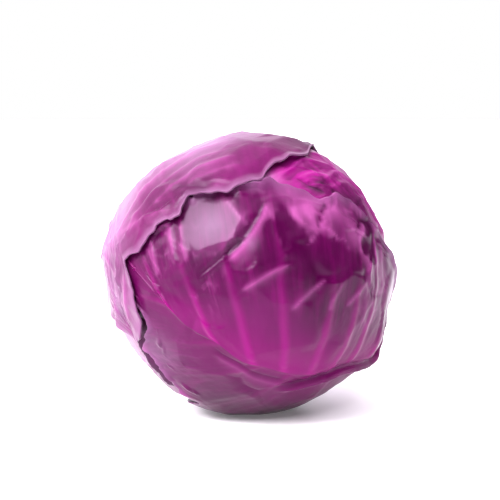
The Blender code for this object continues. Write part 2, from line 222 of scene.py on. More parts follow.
# The valley above the thick base of the front leaf, which bulges at the lower right
LEAF_BASE = [
    (80, -12), (81, -22), (80, -28), (74, -33), (59, -35), (50, -36), (41, -38), (28, -42),
    (12, -45),
]

# What each leaf's own surface has, with lengths in metres. A spot is an azimuth, an elevation and
# a reach, all in degrees. Painted shading is painted shade below 0 and painted highlight above.
# grid: faces along the midrib and from edge to edge
# midrib, rib: height and width
# side_strength: how strong the ribs are on each side
# colour_reach: half width of the ribs' bright colour
# blush: strength and reach of the bright colour beside the midrib
# strip, margin_lift: width of the strip along the edge that is lifted, and how far
# creases: height, half width in degrees, height of a lip beside it, its points, and its painted
# shading where that doesn't follow from its height; valleys get painted shade, crests and lips
# painted highlight
# flaps: side, share of the midrib, width and amount by which the edge reaches out or draws back
# net, crumples: number of fine folds along and across, and spots with their height
# flats: spots, each with the turn of its face in degrees to the right and up
# rounded: spots where flats are weak
# dents: spots with their height, below 0 where they go in
# spots with their strength: first those of painted shade, below 0, and painted highlight, above 0,
# then the waxy spots, which also paint the pale reflection of the bright studio along the outlines
# and on glossy places
# A leaf without flaps, flats, rounded spots or dents leaves them out.
SURFACES = {
    "back_leaf": {
        "grid": (150, 170),
        "midrib": (0.0030, 0.0040),
        "rib": (0.0010, 0.0022),
        "side_strength": (0.8, 0.8),
        "colour_reach": 0.0030,
        "blush": (0.2, 0.010),
        "strip": 0.004,
        "margin_lift": 0.0006,
        # Both creases paint shade into the gap under the front leaf's edge, the raised one too, far darker
        # than their heights give
        "creases": [
            (
                -0.0018,
                1.5,
                0.0,
                [(-50, -10), (-52, -20), (-53, -28), (-52, -36), (-49, -44), (-44, -53)],
                -4.0,
            ),
            (
                0.0022,
                1.6,
                0.0,
                [(-56, -17), (-58, -22), (-59, -28), (-58, -36), (-55, -43), (-51, -50)],
                -1.2,
            ),
        ],
        "net": (18, 4),
        "crumples": [(-70, -34, 10, 0.0003)],
        "dents": [
            (-49, -16, 4, -0.0030), (-54, -24, 4, -0.0026), (-54, -32, 4, -0.0026),
            (-51, -41, 4, -0.0022),
        ],
        # Painted shade deep in the same gap
        "painted_light_spots": [(-47, -14, 5, -1.2), (-50, -20, 5, -1.0)],
        # The waxy spots also paint the pale reflection of the room along the left outline, the lower left
        # and the back
        "wax_and_painted_reflection": [(-82, -34, 13, 0.3), (170, -20, 25, 0.2), (-30, -50, 12, 0.12)],
    },
    "crown_leaf": {
        "grid": (150, 150),
        "midrib": (0.0024, 0.0036),
        "rib": (0.0009, 0.0018),
        "side_strength": (0.9, 0.9),
        "colour_reach": 0.0022,
        "blush": (0.2, 0.010),
        "strip": 0.004,
        "margin_lift": 0.0006,
        "creases": [
            (-0.0006, 1.2, 0.0, [(20, 46), (29, 47), (36, 42), (43, 38)]),
            (0.0005, 1.2, 0.0, [(45, 61), (49, 51), (53, 41), (57, 30)]),
            (0.0005, 1.2, 0.0, [(80, 52), (67, 42), (62, 31)]),
            (-0.0005, 1.2, 0.0, [(46, 47), (50, 38), (53, 32)]),
            (0.0004, 1.0, 0.0, [(10, 47), (22, 51), (34, 53)]),
        ],
        "net": (8, 2),
        "crumples": [(44, 42, 14, 0.0006), (70, 34, 12, 0.0004)],
        "flats": [(30, 42, 9, 0, 4), (47, 36, 8, 4, 0), (62, 33, 7, -4, 0), (54, 52, 9, 2, 2)],
        # Painted shade on some facets
        "painted_light_spots": [(48, 40, 7, -0.5), (62, 36, 6, -0.6), (36, 42, 4, -0.5), (52, 34, 5, -0.5)],
        # The waxy spots also paint pale reflection at the right outline and near the top
        "wax_and_painted_reflection": [(100, 40, 20, 0.15), (8, 45, 6, 0.35)],
    },
    "front_leaf": {
        "grid": (214, 226),
        "midrib": (0.0010, 0.0036),
        "rib": (0.0007, 0.0024),
        "side_strength": (1.0, 0.45),
        "colour_reach": 0.0044,
        "blush": (0.55, 0.017),
        "strip": 0.005,
        "margin_lift": 0.0010,
        "creases": [
            (
                -0.0007,
                0.75,
                0.0006,
                [(8, 37), (6, 34), (3, 29), (0, 24), (-4, 19), (-11, 13), (-18, 7), (-21, 4)],
                -1.5,
            ),
            (0.0003, 1.5, 0.0, [(9, 36), (6, 29), (2, 23), (-3, 17), (-9, 11)], 1.2),
            (0.0002, 1.3, 0.0, [(0, 33), (-4, 26), (-9, 18), (-15, 12)], 0.2),
            (0.0005, 1.0, 0.0, [(-12, 37), (-6, 31), (0, 25)]),
            (0.0007, 0.9, 0.0, [(18, 11), (10, 8), (3, 4), (-4, 0)]),
            (0.0006, 0.9, 0.0, [(32, 5), (28, 2), (20, -4), (16, -8)]),
            (0.0005, 0.8, 0.0, [(40, 3), (34, -5), (33, -9)]),
            (0.0006, 0.8, 0.0, [(54, 2), (48, -3), (42, -8)]),
            (0.0004, 1.8, 0.0, [(56, 17), (55, 5), (53, -5), (54, -14), (61, -21)], 0.3),
            (0.0004, 1.8, 0.0, [(67, 12), (67, -2), (64, -10)], 0.3),
            (0.0007, 0.9, 0.0, [(9, 33), (12, 22), (15, 11)]),
            (0.0005, 0.9, 0.0, [(20, 34), (24, 24), (26, 18)]),
            (-0.0007, 0.8, 0.0, [(38, 35), (33, 29), (30, 23)]),
            (0.0006, 1.0, 0.0, [(34, 27), (27, 20), (23, 16)]),
            (0.0005, 1.0, 0.0, [(38, 32), (35, 19)]),
            (-0.0008, 0.7, 0.0, [(50, 21), (55, 25), (62, 24)]),
            (0.0006, 1.0, 0.0, [(-44, 19), (-41, 13), (-37, 4)]),
            (0.0006, 1.0, 0.0, [(-36, 25), (-33, 18), (-29, 9)]),
            (0.0006, 1.0, 0.0, [(-31, 26), (-28, 19), (-24, 10)]),
            (-0.0006, 0.9, 0.0, [(-40, 22), (-37, 15), (-33, 7)]),
            (-0.0005, 0.9, 0.0, [(-33, 25), (-30, 17), (-26, 9)]),
            (-0.0018, 1.6, 0.0024, LEAF_BASE, -0.8),
            (0.0004, 1.6, 0.0, [(38, -42), (50, -41), (62, -38), (74, -36), (84, -30)], -0.25),
            (-0.0005, 0.8, 0.0, [(-16, -22), (-12, -26), (-4, -30), (3, -35), (10, -38), (22, -41)], -0.6),
            (0.0003, 1.3, 0.0, [(-16, -25), (-12, -29), (-4, -33), (3, -38), (10, -41), (22, -44)], 0.3),
            (0.0005, 1.2, 0.0, [(-49, -20), (-50, -27), (-48, -36), (-45, -45), (-39, -54)], 0.9),
        ],
        "flaps": [(1, 0.56, 0.10, -0.11)],
        "net": (17, 3),
        "crumples": [
            (46, 27, 11, 0.0007), (58, 14, 9, 0.0006), (22, 28, 9, 0.0004), (-34, 13, 9, 0.0004),
            (-16, 4, 8, 0.0003), (-34, -30, 9, 0.00012), (60, -10, 12, 0.0002),
        ],
        "rounded": [(80, -33, 17)],
        "flats": [
            (-15, 26, 14, -7, 6), (1, 35, 6, 3, 4), (6, 21, 8, 5, -1), (-10, 6, 10, 0, -3),
            (-32, 14, 9, -5, 5), (-3, 14, 5, -6, 4), (20, 27, 8, 0, 3), (-35, 11, 8, -3, -3),
            (42, 27, 7, 3, 3), (36, 14, 9, 3, -3), (-12, -4, 8, 0, -2), (48, 12, 8, 5, 2),
            (62, 4, 8, 4, 0),
        ],
        # Painted highlight in the pale spots and painted shade in the dark ones; the broad dark one low at
        # the front is painted shade near the table
        "painted_light_spots": [
            (17, 37, 4, 0.4), (11, 26, 3.5, -0.7), (19, 20, 5, -0.5), (-32, 2, 6, -0.35),
            (20, 30, 3, 0.4), (28, 32, 5, 0.6), (40, 31, 5, 0.6), (50, 20, 5, 0.6),
            (58, 10, 4, 0.4), (8, 14, 3, -0.6), (20, 14, 5, -0.5), (34, 8, 6, -0.4),
            (47, 6, 5, -0.4), (-22, 4, 4, -0.4), (-7, 0, 4, -0.4), (15, -80, 17, -0.8),
        ],
        # The waxy spots also paint pale reflection at the lower left and right outlines, and painted
        # highlight on two glossy spots
        "wax_and_painted_reflection": [(-50, -28, 10, 0.2), (90, 0, 14, 0.2), (-16, 25, 7, 0.14), (1, 19, 2.5, 0.12)],
    },
    "top_leaf": {
        "grid": (200, 200),
        "midrib": (0.0016, 0.0034),
        "rib": (0.0008, 0.0019),
        "side_strength": (0.7, 0.8),
        "colour_reach": 0.0026,
        "blush": (0.2, 0.012),
        "strip": 0.0055,
        "margin_lift": 0.0007,
        "creases": [
            (0.0005, 1.5, 0.0, [(-19, 72), (-49, 64), (-61, 51), (-66, 38), (-67, 24), (-66, 12)]),
            (0.0004, 1.3, 0.0, [(-14, 64), (-35, 58), (-47, 49), (-54, 38), (-58, 27), (-58, 16)]),
            (0.0005, 1.4, 0.0, [(-6, 58), (-24, 53), (-34, 48), (-42, 41), (-47, 34), (-51, 26)]),
            (0.0004, 1.2, 0.0, [(-4, 52), (-17, 49), (-25, 46), (-32, 42), (-37, 37)]),
            (0.0004, 1.2, 0.0, [(-34, 31), (-45, 28), (-54, 24), (-66, 18)]),
            (-0.0006, 1.0, 0.0, [(-41, 38), (-36, 41), (-27, 41), (-19, 39)]),
            (-0.0005, 1.0, 0.0, [(-60, 6), (-57, -4), (-57, -14)]),
            (0.0006, 1.2, 0.0, [(-54, 6), (-53, -5), (-54, -15)]),
        ],
        "flats": [(-20, 50, 9, 0, 0), (0, 58, 9, 0, 0), (-45, 34, 9, 0, 0), (-60, 20, 9, 0, 0)],
        "dents": [(62, 58, 22, -0.0010)],
        "flaps": [(0, 0.945, 0.045, 0.19)],
        "net": (18, 4),
        "crumples": [
            (-76, 4, 14, 0.0004), (-60, -12, 9, 0.0004), (-46, 34, 8, 0.0002), (-20, 44, 8, 0.0002),
        ],
        # Painted shade in two spots beside the folds
        "painted_light_spots": [(-50, 36, 7, -0.35), (-26, 38, 4, -0.4)],
        # The waxy spots also paint the pale reflection of the bright studio along the outlines
        "wax_and_painted_reflection": [
            (-36, 52, 8, 0.08), (-54, 67, 8, 0.32), (-90, 22, 14, 0.62), (-74, 14, 11, 0.24),
            (-62, -7, 9, 0.3), (-90, 54, 14, 0.50), (-40, 80, 10, 0.36), (140, 20, 24, 0.25),
            (-130, -4, 18, 0.25),
        ],
    },
}


def directions(places):
    """Unit vectors of places given as azimuth and elevation in degrees."""
    a, e = np.radians(np.asarray(places, float)).T
    return np.column_stack((np.cos(e) * np.sin(a), -np.cos(e) * np.cos(a), np.sin(e)))


def unit(vectors):
    return vectors / np.linalg.norm(vectors, axis=-1, keepdims=True)


STEM_AXIS = directions([(STEM_AZIMUTH, STEM_ELEVATION)])[0]


def smooth(share):
    """Eases a share from 0 to 1, flat at both ends."""
    share = np.clip(share, 0.0, 1.0)
    return share * share * (3 - 2 * share)


def off_spot(places, start):
    """0 on the flat spot under the head and 1 well above it; the rise begins at minus start."""
    return smooth((places[:, 2] + start) / 0.25)


def angle_between(a, b):
    return np.arccos(np.clip((a * b).sum(-1), -1, 1))


def curve(knots, points, at):
    """Smooth curve through points, each reached at its own knot."""
    knots = np.asarray(knots, float)
    at = np.clip(at, knots[0], knots[-1])
    i = np.clip(np.searchsorted(knots, at, side="right") - 1, 0, len(knots) - 2)
    low = np.maximum(np.arange(len(knots)) - 1, 0)
    high = np.minimum(np.arange(len(knots)) + 1, len(knots) - 1)
    slopes = (points[high] - points[low]) / (knots[high] - knots[low])[:, None]
    span = (knots[i + 1] - knots[i])[:, None]
    t = (at - knots[i])[:, None] / span
    point = (
        points[i] * (2 * t**3 - 3 * t**2 + 1)
        + slopes[i] * span * (t**3 - 2 * t**2 + t)
        + points[i + 1] * (3 * t**2 - 2 * t**3)
        + slopes[i + 1] * span * (t**3 - t**2)
    )
    return unit(point)


def arc(a, b, share):
    """The direction a share of the way from a to b round the head."""
    angle = angle_between(a, b)[:, None]
    share = share[:, None]
    return (a * np.sin((1 - share) * angle) + b * np.sin(share * angle)) / np.sin(angle)


def lay_out(plan, share, ring, side):
    """Where points of a leaf go: share along its midrib, ring out to its edge, side 0 or 1."""
    midrib = directions(plan["midrib"])
    steps = angle_between(midrib[1:], midrib[:-1])
    knots = np.concatenate(([0.0], np.cumsum(steps) / steps.sum()))
    start = curve(knots, midrib, share)
    heading = unit(midrib[0] - STEM_AXIS * (midrib[0] @ STEM_AXIS))
    across = np.cross(STEM_AXIS, heading)
    ends = []
    for rows in plan["sides"]:
        ends.append(curve([r[0] for r in rows], directions([r[1:3] for r in rows]), share))
    end = np.where((side == 0)[:, None], ends[0], ends[1])
    on_row = arc(start, end, ring)
    first = directions([plan["sides"][0][0][1:3]])[0]
    way = math.copysign(1.0, across @ first)
    turn = (np.where(side == 0, 1.0, -1.0) * way * ring * FOOT_SPREAD)[:, None]
    round_stem = heading * np.cos(turn) + across * np.sin(turn)
    clasp = STEM_AXIS * math.cos(FOOT_DISTANCE) + round_stem * math.sin(FOOT_DISTANCE)
    open_out = smooth(share / FOOT_BLEND)[:, None]
    return unit(clasp * (1 - open_out) + on_row * open_out)


def tree_of(obj):
    """A piece's surface, for finding how high it stands."""
    mesh = obj.data
    points = np.empty(len(mesh.vertices) * 3)
    mesh.vertices.foreach_get("co", points)
    return BVHTree.FromPolygons(
        [tuple(p) for p in points.reshape(-1, 3)], [tuple(p.vertices) for p in mesh.polygons]
    )


def radius_inside(tree, places):
    """Distance from the middle to the side of a CAD leaf that faces the middle, nan where it ends."""
    out = np.full(len(places), np.nan)
    for k, place in enumerate(places):
        hit = tree.ray_cast(MIDDLE, place)
        if hit[0] is not None:
            out[k] = hit[3]
    return out


def radius_outside(tree, places):
    """Distance from the middle to the outside of a piece, 0 where it has none."""
    out = np.zeros(len(places))
    for k, place in enumerate(places):
        ray = Vector(place)
        hit = tree.ray_cast(MIDDLE + ray * FAR, -ray, FAR / 2)
        if hit[0] is not None:
            out[k] = FAR - hit[3]
    return out


def blur(field, cells):
    """Smooths a grid of values over so many cells."""
    reach = max(1, int(math.ceil(cells * 2.5)))
    weights = np.exp(-0.5 * (np.arange(-reach, reach + 1) / cells) ** 2)
    weights /= weights.sum()
    for axis in (0, 1):
        pad = [(0, 0), (0, 0)]
        pad[axis] = (reach, reach)
        wide = np.pad(field, pad, mode="edge")
        field = sum(
            w * np.take(wide, np.arange(k, k + field.shape[axis]), axis=axis)
            for k, w in enumerate(weights)
        )
    return field


def fill_gaps(field):
    """Carries values outwards to the places that have none."""
    while np.isnan(field).any():
        wide = np.pad(field, 1, constant_values=np.nan)
        around = np.stack([wide[2:, 1:-1], wide[:-2, 1:-1], wide[1:-1, 2:], wide[1:-1, :-2]])
        known = ~np.isnan(around)
        mean = np.where(known, around, 0).sum(0) / np.maximum(known.sum(0), 1)
        field = np.where(np.isnan(field) & known.any(0), mean, field)
    return field


def swell(places, azimuth, elevation, reach):
    """1 at a spot on the head, falling to a half at its reach in degrees."""
    away = np.degrees(angle_between(places, directions([(azimuth, elevation)])))
    return 0.5 ** ((away / reach) ** 2)


def distance_to_line(places, points):
    """Signed distance in degrees from a line over the head, and how far along it, from 0 to 1."""
    line = directions(points)
    lengths = np.linalg.norm(line[1:] - line[:-1], axis=1)
    before = np.concatenate(([0.0], np.cumsum(lengths)))
    best = np.full(len(places), 1e9)
    signed = np.zeros(len(places))
    along = np.zeros(len(places))
    for k, (a, b) in enumerate(zip(line, line[1:])):
        t = np.clip((places - a) @ (b - a) / lengths[k] ** 2, 0, 1)
        away = np.linalg.norm(places - (a + t[:, None] * (b - a)), axis=1)
        side = np.sign(places @ np.cross(a, b))
        closer = away < best
        best = np.where(closer, away, best)
        signed = np.where(closer, away * side, signed)
        along = np.where(closer, (before[k] + t * lengths[k]) / before[-1], along)
    return np.degrees(signed), along


def crease(places, height, width, lip, points, painted_shading=None):
    """A fold line: sharp at its crest and running out at its ends, with a lip beside it. Gives its
    height and its painted shading: painted shade below 0 and painted highlight above."""
    away, along = distance_to_line(places, points)
    fade = smooth(along / 0.15) * smooth((1 - along) / 0.15)
    fold = np.exp(-np.abs(away) / width)
    beside = np.exp(-(((away - 1.6 * width) / (1.1 * width)) ** 2))
    tone = height / FULL_PAINTED_SHADING if painted_shading is None else painted_shading
    paler = lip / FULL_PAINTED_SHADING if painted_shading is None else 0.0
    return (height * fold + lip * beside) * fade, (tone * fold + paler * beside) * fade


def flatten(places, radius, flats, rounded):
    """Presses flat faces into a surface, which meet in creases, apart from its rounded spots."""
    lowest = np.full(len(places), 1e9)
    weight = np.zeros(len(places))
    for azimuth, elevation, reach, turn_right, turn_up in flats:
        middle = directions([(azimuth, elevation)])[0]
        face = directions([(azimuth + turn_right, elevation + turn_up)])[0]
        away = np.degrees(angle_between(places, middle))
        near = away < reach * 0.6
        if not near.any():
            continue
        height = radius[near].mean()
        plane = height * (middle @ face) / np.maximum(places @ face, 0.2)
        here = smooth((reach * 1.25 - away) / (reach * 0.5))
        lowest = np.where(here > 0, np.minimum(lowest, plane), lowest)
        weight = np.maximum(weight, here)
    strength = FLATNESS * off_spot(places, 0.99)
    for spot in rounded:
        strength = strength * (1 - 0.95 * swell(places, *spot))
    return np.where(weight > 0, radius + (lowest - radius) * weight * strength, radius)


def all_flats(seed, chosen):
    """The chosen flats of a leaf, and between them facets spread evenly over the rest of the head,
    each turned a little its own way."""
    chance = np.random.default_rng(seed)
    flats = list(chosen)
    for k in range(SCATTERED):
        elevation = math.degrees(math.asin(1 - 2 * (k + 0.5) / SCATTERED)) + chance.uniform(-5, 5)
        azimuth = (k * GOLDEN_ANGLE + chance.uniform(-9, 9)) % 360
        turns = chance.uniform(-4.0, 4.0, 2)
        middle = directions([(azimuth, elevation)])
        others = directions([f[:2] for f in chosen]) if chosen else -middle
        room = [max(FACET_ROOM, f[2]) for f in chosen] if chosen else FACET_ROOM
        if (np.degrees(angle_between(middle, others)) - room).min() > 0:
            flats.append((azimuth, elevation, SCATTERED_REACH, turns[0], turns[1]))
    return flats


def fractal(points, size, octaves=3):
    """Even noise, about -1 to 1, whose largest lumps have that size."""
    return np.array([noise.fractal(Vector(p), 0.7, 2.1, octaves) for p in points / size])


def crumples(points):
    """A net of fine folds: their height, from about -0.5 to 1, and their painted shading, painted
    highlight on the crests and painted shade below.
    """
    net = [fractal(points, 1.0, 2), fractal(points + 37.0, 0.55, 2)]
    crests = [np.exp(-np.abs(n) / 0.09) for n in net]
    height = crests[0] * (0.6 + 0.4 * net[1]) + 0.5 * crests[1] - 0.5 * net[0]
    return height, 1.1 * crests[0] + 0.6 * crests[1] - 1.3 * smooth((net[0] + net[1]) / 0.7)


def rib_lines(rows, side):
    """The lines of ribs and their forks on one side of a leaf: where each starts on its row, how
    it leaves its row towards the edge, and its strength."""
    ribs = [r[0] for r in rows if r[3]]
    lines = []
    for k, share in enumerate(ribs):
        room = min(abs(share - other) for other in ribs if other != share)
        fork = 0.34 + 0.12 * ((k * 3 + side) % 4)
        twig = 0.10 + 0.06 * (k % 3)
        lines.append((share, 0.0, 0.0, 1.0))
        lines.append((share, fork, 0.42 * room, 0.35))
        lines.append((share, fork + 0.12, -0.42 * room, 0.30))
        lines.append((share, twig, 0.55 * room, 0.18))
    return lines


def ribs_of(lay):
    """Height of the side ribs, and how much a place belongs to a rib by its colour. Both fade
    towards the edge, and each rib wavers a little on its way there."""
    look = lay.look
    height = np.zeros(lay.size)
    colour = np.zeros(lay.size)
    for s in (0, 1):
        here = lay.side == s
        u, r, scale = lay.share[here], lay.ring[here], lay.along_scale[here]
        rise = np.zeros(len(u))
        tint = np.zeros(len(u))
        for start, leaves_at, drift, strength in rib_lines(lay.plan["sides"][s], s):
            out = np.clip((r - leaves_at) / (1 - leaves_at), 0, 1)
            waver = 0.0045 * np.sin(r * 11 + start * 57) + 0.002 * np.sin(r * 29 + start * 91)
            away = np.abs(u - start - drift * out**0.8 + waver * r) * scale
            on = smooth((r - leaves_at) / 0.04 + 1)
            tall = look["rib"][0] * strength * (0.12 + 0.88 * (1 - r) ** 1.3) * on
            wide = look["rib"][1] * (0.30 + 0.70 * (1 - r)) * (0.5 + 0.5 * strength)
            rise = np.maximum(rise, tall * np.exp(-((away / wide) ** 2)))
            broad = look["colour_reach"] * (0.16 + 0.84 * (1 - r) ** 1.4) * (0.3 + 0.7 * strength)
            level = strength * (0.10 + 0.90 * (1 - r) ** 2.0) * on
            tint = np.maximum(tint, level * np.exp(-((away / broad) ** 2)))
        height[here] = rise * smooth(r / 0.04) * look["side_strength"][s]
        colour[here] = tint * look["side_strength"][s]
    return height, colour


def flat_sheet(name, along, across):
    """A flat grid, from which a leaf is shaped."""
    bpy.ops.object.select_all(action="DESELECT")
    bpy.ops.mesh.primitive_grid_add(x_subdivisions=along, y_subdivisions=across, size=2)
    sheet = bpy.context.object
    sheet.name = sheet.data.name = name
    return sheet


def points_of(mesh):
    points = np.empty(len(mesh.vertices) * 3)
    mesh.vertices.foreach_get("co", points)
    return points.reshape(-1, 3)


def store(mesh, name, values):
    """Keeps a value at each point for the material to read."""
    layer = mesh.attributes.new(name, "FLOAT", "POINT")
    layer.data.foreach_set("value", np.asarray(values, np.float32))


class Lay:
    """How the points of a leaf's flat grid lie on the head: their share along the midrib, ring out
    to the edge, side and place, and how far they are from edge and midrib in metres."""

    def __init__(self, name, mesh):
        self.plan = LEAVES[name]
        self.look = {"flaps": [], "flats": [], "rounded": [], "dents": [], **SURFACES[name]}
        along, across = self.look["grid"]
        flat = points_of(mesh)
        self.size = len(flat)
        column = np.rint((flat[:, 0] + 1) / 2 * along).astype(int)
        row = np.rint((flat[:, 1] + 1) / 2 * across).astype(int)
        self.grid = np.empty((along + 1, across + 1), int)
        self.grid[column, row] = np.arange(self.size)
        self.last = max(r[0] for rows in self.plan["sides"] for r in rows)
        self.share = column / along * self.last
        v = row / across * 2 - 1
        self.side = (v > 0).astype(int)
        self.ring = np.abs(v)
        reach = self.ring * (1 + self.torn_edge() * self.ring**5)
        self.places = lay_out(self.plan, self.share, reach, self.side)
        here = self.on_grid(self.places)
        step = np.linalg.norm(np.gradient(here, axis=0), axis=2) * HEAD_RADIUS * along / self.last
        self.along_scale = self.off_grid(step)  # metres in one share of the midrib
        length = np.linalg.norm(np.gradient(here, axis=1), axis=2).mean(1) * HEAD_RADIUS * across / 2
        row_length = self.off_grid(np.repeat(length[:, None], across + 1, 1))
        self.edge = (1 - self.ring) * row_length
        self.from_midrib = self.ring * row_length

    def on_grid(self, values):
        return np.asarray(values)[self.grid]

    def off_grid(self, field):
        out = np.empty(self.size)
        out[self.grid.ravel()] = field.ravel()
        return out

    def torn_edge(self):
        """How much further than its plan the edge reaches: small waves, and the leaf's flaps."""
        share = self.share
        torn = 0.010 * np.sin(share * 61) + 0.007 * np.sin(share * 143 + 1) + 0.006 * np.sin(share * 260)
        torn = torn * smooth((self.last - share) / 0.06) * smooth(share / 0.1)
        for side, middle, width, amount in self.look["flaps"]:
            torn = torn + amount * np.exp(-(((share - middle) / width) ** 4)) * (self.side == side)
        return torn

    def swells(self, spots):
        """The sum of spots, each with its own strength."""
        total = np.zeros(self.size)
        for azimuth, elevation, reach, strength in spots:
            total = total + strength * swell(self.places, azimuth, elevation, reach)
        return total


def veins(lay):
    """Height and colour of midrib and ribs, and the blush beside the midrib."""
    rise, tint = ribs_of(lay)
    tall, wide = lay.look["midrib"]
    gone = lay.share / lay.last
    spine = (0.18 + 0.82 * (1 - gone) ** 1.6) * tall
    narrow = wide * (0.35 + 0.65 * (1 - gone))
    rise = np.maximum(rise, spine * np.exp(-((lay.from_midrib / narrow) ** 2)))
    towards_foot = 0.25 + 0.5 * smooth((0.6 - gone) / 0.5)
    tint = np.maximum(tint, towards_foot * np.exp(-((lay.from_midrib / (narrow * 1.3)) ** 2)))
    blush, far = lay.look["blush"]
    blush = blush * (0.45 + 0.55 * smooth((0.85 - gone) / 0.3))
    upper = blush * np.exp(-((lay.from_midrib / far) ** 2)) * (lay.side == 0)
    lower = 0.45 * blush * np.exp(-((lay.from_midrib / (1.6 * far)) ** 2)) * (lay.side == 1)
    return rise, np.maximum(np.maximum(tint, upper), lower)


def folds(lay, outer):
    """Adds dents, creases and crumples to a leaf, and gives their painted shade and painted highlight as
    well, with those of the painted spots.
    """
    look, places = lay.look, lay.places
    for azimuth, elevation, reach, height in look["dents"]:
        outer = outer + height * swell(places, azimuth, elevation, reach)
    painted_shading = np.zeros(lay.size)
    for line in look["creases"]:
        fold, tone = crease(places, *line)
        outer = outer + fold
        painted_shading = painted_shading + tone
    for azimuth, elevation, reach, tone in look["painted_light_spots"]:
        painted_shading = painted_shading + tone * swell(places, azimuth, elevation, reach)
    crumpled = lay.swells(look["crumples"])
    along, across = look["net"]
    fine, tone = crumples(np.column_stack((lay.share * along, lay.ring * across, lay.side * 7.0)))
    return outer + crumpled * fine, painted_shading + crumpled / FULL_PAINTED_SHADING * tone


def margin_and_grain(lay, outer):
    """Adds the lifted and curled margin, low lumps and the fine streaks between the ribs."""
    look, share, places = lay.look, lay.share, lay.places
    strip = smooth((look["strip"] - lay.edge) / look["strip"])
    free = off_spot(places, 0.88)
    outer = outer + look["margin_lift"] * strip * smooth(share / 0.12) * free
    outer = outer + LUMPS * fractal(places, LUMP_SIZE)
    streak = np.column_stack((share * STREAK_COUNTS[0], lay.ring * STREAK_COUNTS[1], lay.side * 9.0))
    fine = STREAKS * np.where(lay.side == 0, *look["side_strength"])
    fine = fine * smooth((lay.last * 0.95 - share) / 0.2)
    outer = outer + fine * fractal(streak, 1.0, 2) * smooth(lay.ring / 0.15)
    curl = np.sin(share * 47 + lay.side * 2) + 0.7 * np.sin(share * 113 + lay.side)
    return outer + CURL * curl * np.exp(-lay.edge / CURL_REACH) * smooth(share / 0.15) * free


def settle(lay, outer, below):
    """Lifts a leaf clear of the pieces below it, keeps it above the table and closes its tip."""
    lowest = np.zeros(lay.size)
    for piece in below:
        lowest = np.maximum(lowest, radius_outside(piece, lay.places))
    lowest = np.where(lowest > 0, lowest + CLEAR + BLADE, 0)
    short = blur(lay.on_grid(np.maximum(lowest - outer, 0)), 0.9)
    outer = np.maximum(outer + lay.off_grid(short), lowest)
    height = lay.places[:, 2]
    floor = np.where(height < -1e-3, CENTRE[2] / np.maximum(-height, 1e-3), 1.0)
    field = lay.on_grid(np.minimum(outer, floor))
    field[-1] = (field[-1] + field[-1][::-1]) / 2
    return lay.off_grid(field)


def merge_doubled_points():
    """Opens the active piece for editing, all selected, and merges points that meet."""
    bpy.ops.object.mode_set(mode="EDIT")
    bpy.ops.mesh.select_all(action="SELECT")
    bpy.ops.mesh.remove_doubles(threshold=MERGE)


def close_and_thicken(sheet):
    """Merges a leaf's doubled points, turns its faces outwards and gives it its thickness."""
    merge_doubled_points()
    bpy.ops.object.mode_set(mode="OBJECT")
    if sum(f.normal.dot(f.center - MIDDLE) for f in sheet.data.polygons) < 0:
        bpy.ops.object.mode_set(mode="EDIT")
        bpy.ops.mesh.flip_normals()
        bpy.ops.object.mode_set(mode="OBJECT")
    shell = sheet.modifiers.new("thickness", "SOLIDIFY")
    shell.thickness = BLADE
    shell.offset = -1
    bpy.ops.object.modifier_apply(modifier=shell.name)


def hand_over(piece, node, material):
    """Shades a finished piece, gives it its skin and puts it in the place of its CAD node."""
    piece.data.shade_smooth()
    piece.data.materials.clear()
    piece.data.materials.append(material)
    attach(piece, "root")
    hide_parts(node)


def wrapper_leaf(name, below, material):
    """One leaf laid on the head over the finished pieces below it."""
    sheet = flat_sheet(name + "_fine", *SURFACES[name]["grid"])
    mesh = sheet.data
    lay = Lay(name, mesh)
    look = lay.look
    base = radius_inside(tree_of(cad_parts[name]), lay.places)
    base = lay.off_grid(blur(fill_gaps(lay.on_grid(base)), 2.2))
    rise, tint = veins(lay)
    outer = flatten(lay.places, base + BLADE, all_flats(len(name), look["flats"]), look["rounded"])
    outer, painted_shading = folds(lay, outer + rise)
    outer = settle(lay, margin_and_grain(lay, outer), below)
    mesh.vertices.foreach_set("co", (CENTRE + lay.places * outer[:, None]).ravel())
    store(mesh, "rib", tint)
    store(mesh, "edge", np.clip(lay.edge / EDGE_REACH, 0, 1))
    # Painted shade in the valleys of folds and in gaps, painted highlight on their crests
    store(mesh, "painted_shade", np.clip(-painted_shading, 0, 1))
    store(mesh, "painted_highlight", np.clip(painted_shading, 0, 1))
    # Pale waxy film, which in its spots also paints the reflection of the bright studio
    store(mesh, "wax_and_painted_reflection", np.clip(lay.swells(look["wax_and_painted_reflection"]), 0, 1))
    mesh.update()
    close_and_thicken(sheet)
    hand_over(sheet, name, material)
    return tree_of(sheet)


def inner_ball(material):
    """The dense ball of inner leaves, which shows only between the outer ones, and sinks where the
    back leaf has its dents, with painted shade round them."""
    bpy.ops.object.select_all(action="DESELECT")
    bpy.ops.mesh.primitive_uv_sphere_add(segments=180, ring_count=110, radius=1)
    ball = bpy.context.object
    ball.name = ball.data.name = "inner_head_fine"
    points = points_of(ball.data)
    pole = Vector((0, 0, 1)).rotation_difference(Vector(STEM_AXIS)).to_matrix()
    places = unit(points @ np.array(pole).T)
    radius = radius_outside(tree_of(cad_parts["inner_head"]), places)
    turn = np.arctan2(points[:, 1], points[:, 0])
    polar = np.arccos(np.clip(points[:, 2], -1, 1))
    ribs = np.maximum(0, np.cos(turn * 18 + polar * 1.3)) ** 8 * np.sin(polar)
    radius = radius + 0.0002 * ribs + 0.0001 * fractal(places, 0.1)
    dents = SURFACES["back_leaf"]["dents"]
    for azimuth, elevation, reach, height in dents:
        radius = radius + height * swell(places, azimuth, elevation, reach)
    shaded = sum(swell(places, azimuth, elevation, 2 * reach) for azimuth, elevation, reach, _ in dents)
    ball.data.vertices.foreach_set("co", (CENTRE + places * radius[:, None]).ravel())
    store(ball.data, "rib", ribs)
    store(ball.data, "edge", np.ones(len(points)))
    # Painted shade round the dents, where the gap lies
    store(ball.data, "painted_shade", np.clip(2 * shaded, 0, 1))
    ball.data.update()
    hand_over(ball, "inner_head", material)
    return tree_of(ball)


